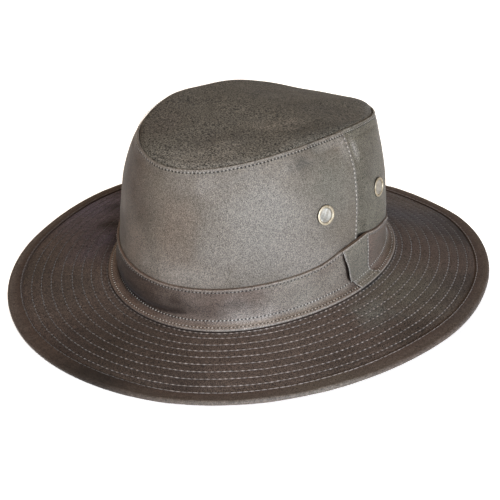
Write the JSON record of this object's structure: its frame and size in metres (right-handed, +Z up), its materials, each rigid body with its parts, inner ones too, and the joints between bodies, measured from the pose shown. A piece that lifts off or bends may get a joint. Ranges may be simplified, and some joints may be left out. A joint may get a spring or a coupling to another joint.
{
  "type": "waxed cotton hat",
  "caption": "Wide-brimmed waxed cotton hat with a domed oval crown, a cloth band with an overlapping tab, brass vent eyelets and a stitched, bound brim.",
  "frame": {"origin": "centre of the brim's outline, on the surface that the hat rests on", "axes": "-Y towards the front of the hat, +X towards the wearer's left, +Z up"},
  "size_m": [0.3248, 0.3518, 0.122],
  "materials": {
    "crown_cloth": "waxed cotton, matt with a dull sheen",
    "tip_cloth": "waxed cotton, matt with a dull sheen",
    "band_cloth": "waxed cotton, matt with a dull sheen",
    "brim_cloth": "waxed cotton in layers, rows of tan stitches",
    "binding_cloth": "waxed cotton strip, folded",
    "eyelet_brass": "aged, satin",
    "eyelet_gauze": "pale nickel gauze"
  },
  "bodies": {
    "root": {"crown_side_front": "crown_cloth", "crown_side_back": "crown_cloth", "crown_tip": "tip_cloth", "hat_band": "band_cloth", "band_tab": "band_cloth", "brim": "brim_cloth", "brim_binding": "binding_cloth", "eyelet_rim_left_front": "eyelet_brass", "eyelet_rim_left_back": "eyelet_brass", "eyelet_rim_right_front": "eyelet_brass", "eyelet_rim_right_back": "eyelet_brass", "eyelet_gauze_left_front": "eyelet_gauze", "eyelet_gauze_left_back": "eyelet_gauze", "eyelet_gauze_right_front": "eyelet_gauze", "eyelet_gauze_right_back": "eyelet_gauze"}
  },
  "joints": []
}
